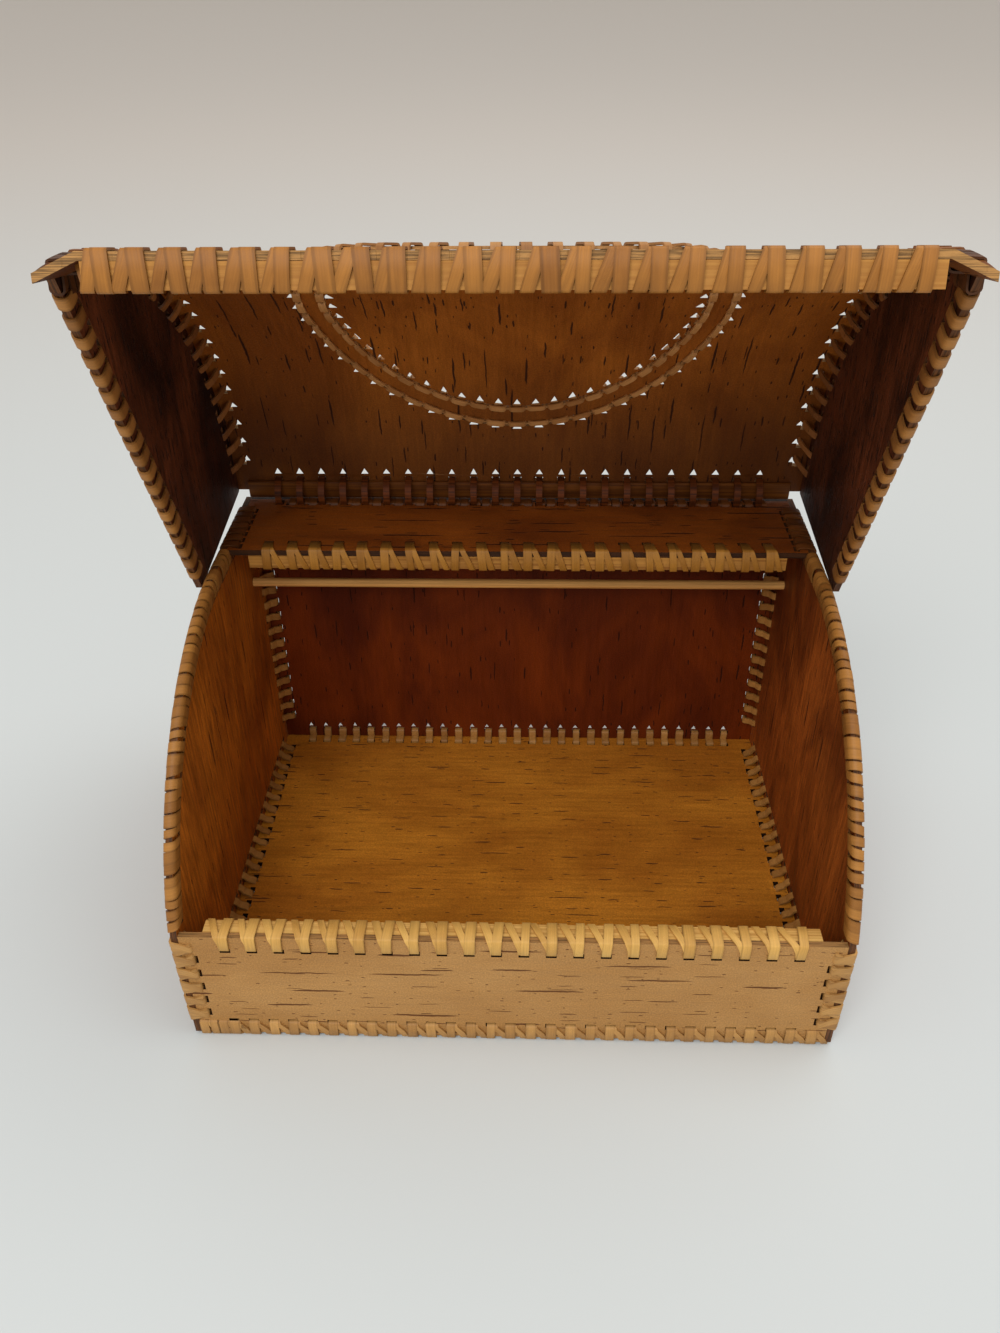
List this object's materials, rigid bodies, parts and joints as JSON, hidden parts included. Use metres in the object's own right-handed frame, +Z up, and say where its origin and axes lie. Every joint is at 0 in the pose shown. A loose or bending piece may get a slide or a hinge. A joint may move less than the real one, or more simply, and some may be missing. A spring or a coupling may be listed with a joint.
{
  "type": "sewn bark box",
  "caption": "Laced birch bark storage box with curved side walls, a fixed rear shelf, an inner rod and a domed lid on strap loops, shown open.",
  "frame": {"origin": "on the ground, under the middle of the box's overall footprint with the lid open", "axes": "+X to the right seen from the front, +Y from the front wall to the hinge, +Z up"},
  "size_m": [0.3144, 0.2315, 0.3497],
  "materials": {
    "bark_floor": "peeled bark, satin",
    "bark_front": "peeled bark, satin",
    "bark_back": "peeled bark, satin",
    "bark_side": "peeled bark, satin",
    "bark_shelf": "peeled bark, satin",
    "bark_lid": "peeled bark, satin",
    "bark_cheek": "peeled bark, satin",
    "bark_band": "peeled bark, satin",
    "lath_wood": "split wood, matt",
    "rod_wood": "split wood, matt",
    "base_strap": "split root or bark strap, satin",
    "lid_strap": "split root or bark strap, satin"
  },
  "bodies": {
    "base": {"floor_panel": "bark_floor", "front_panel": "bark_front", "back_panel": "bark_back", "left_side_panel": "bark_side", "right_side_panel": "bark_side", "shelf_panel": "bark_shelf", "front_rim_lath": "lath_wood", "shelf_front_lath": "lath_wood", "cross_rod": "rod_wood", "front_rim_lacing": "base_strap", "shelf_front_lacing": "base_strap", "floor_front_lacing": "base_strap", "floor_back_lacing": "base_strap", "floor_left_lacing": "base_strap", "floor_right_lacing": "base_strap", "front_left_corner_lacing": "base_strap", "front_right_corner_lacing": "base_strap", "back_left_corner_lacing": "base_strap", "back_right_corner_lacing": "base_strap", "left_edge_lacing": "base_strap", "right_edge_lacing": "base_strap", "shelf_left_lacing": "base_strap", "shelf_right_lacing": "base_strap", "shelf_back_lacing": "base_strap", "hinge_loops": "base_strap"},
    "lid": {"lid_sheet": "bark_lid", "left_cheek": "bark_cheek", "right_cheek": "bark_cheek", "lid_front_lath": "lath_wood", "lid_back_lath": "lath_wood", "lid_front_lacing": "lid_strap", "left_seam_lacing": "lid_strap", "right_seam_lacing": "lid_strap", "left_cheek_lacing": "lid_strap", "right_cheek_lacing": "lid_strap", "ring_lacing": "lid_strap", "ring_band": "bark_band"}
  },
  "joints": [
    {"name": "lid_hinge", "type": "hinge", "parent": "base", "child": "lid", "pos_m": [0, 0.10688, 0.1754], "axis": [-1, 0, 0], "range_deg": [-66, 45]}
  ]
}
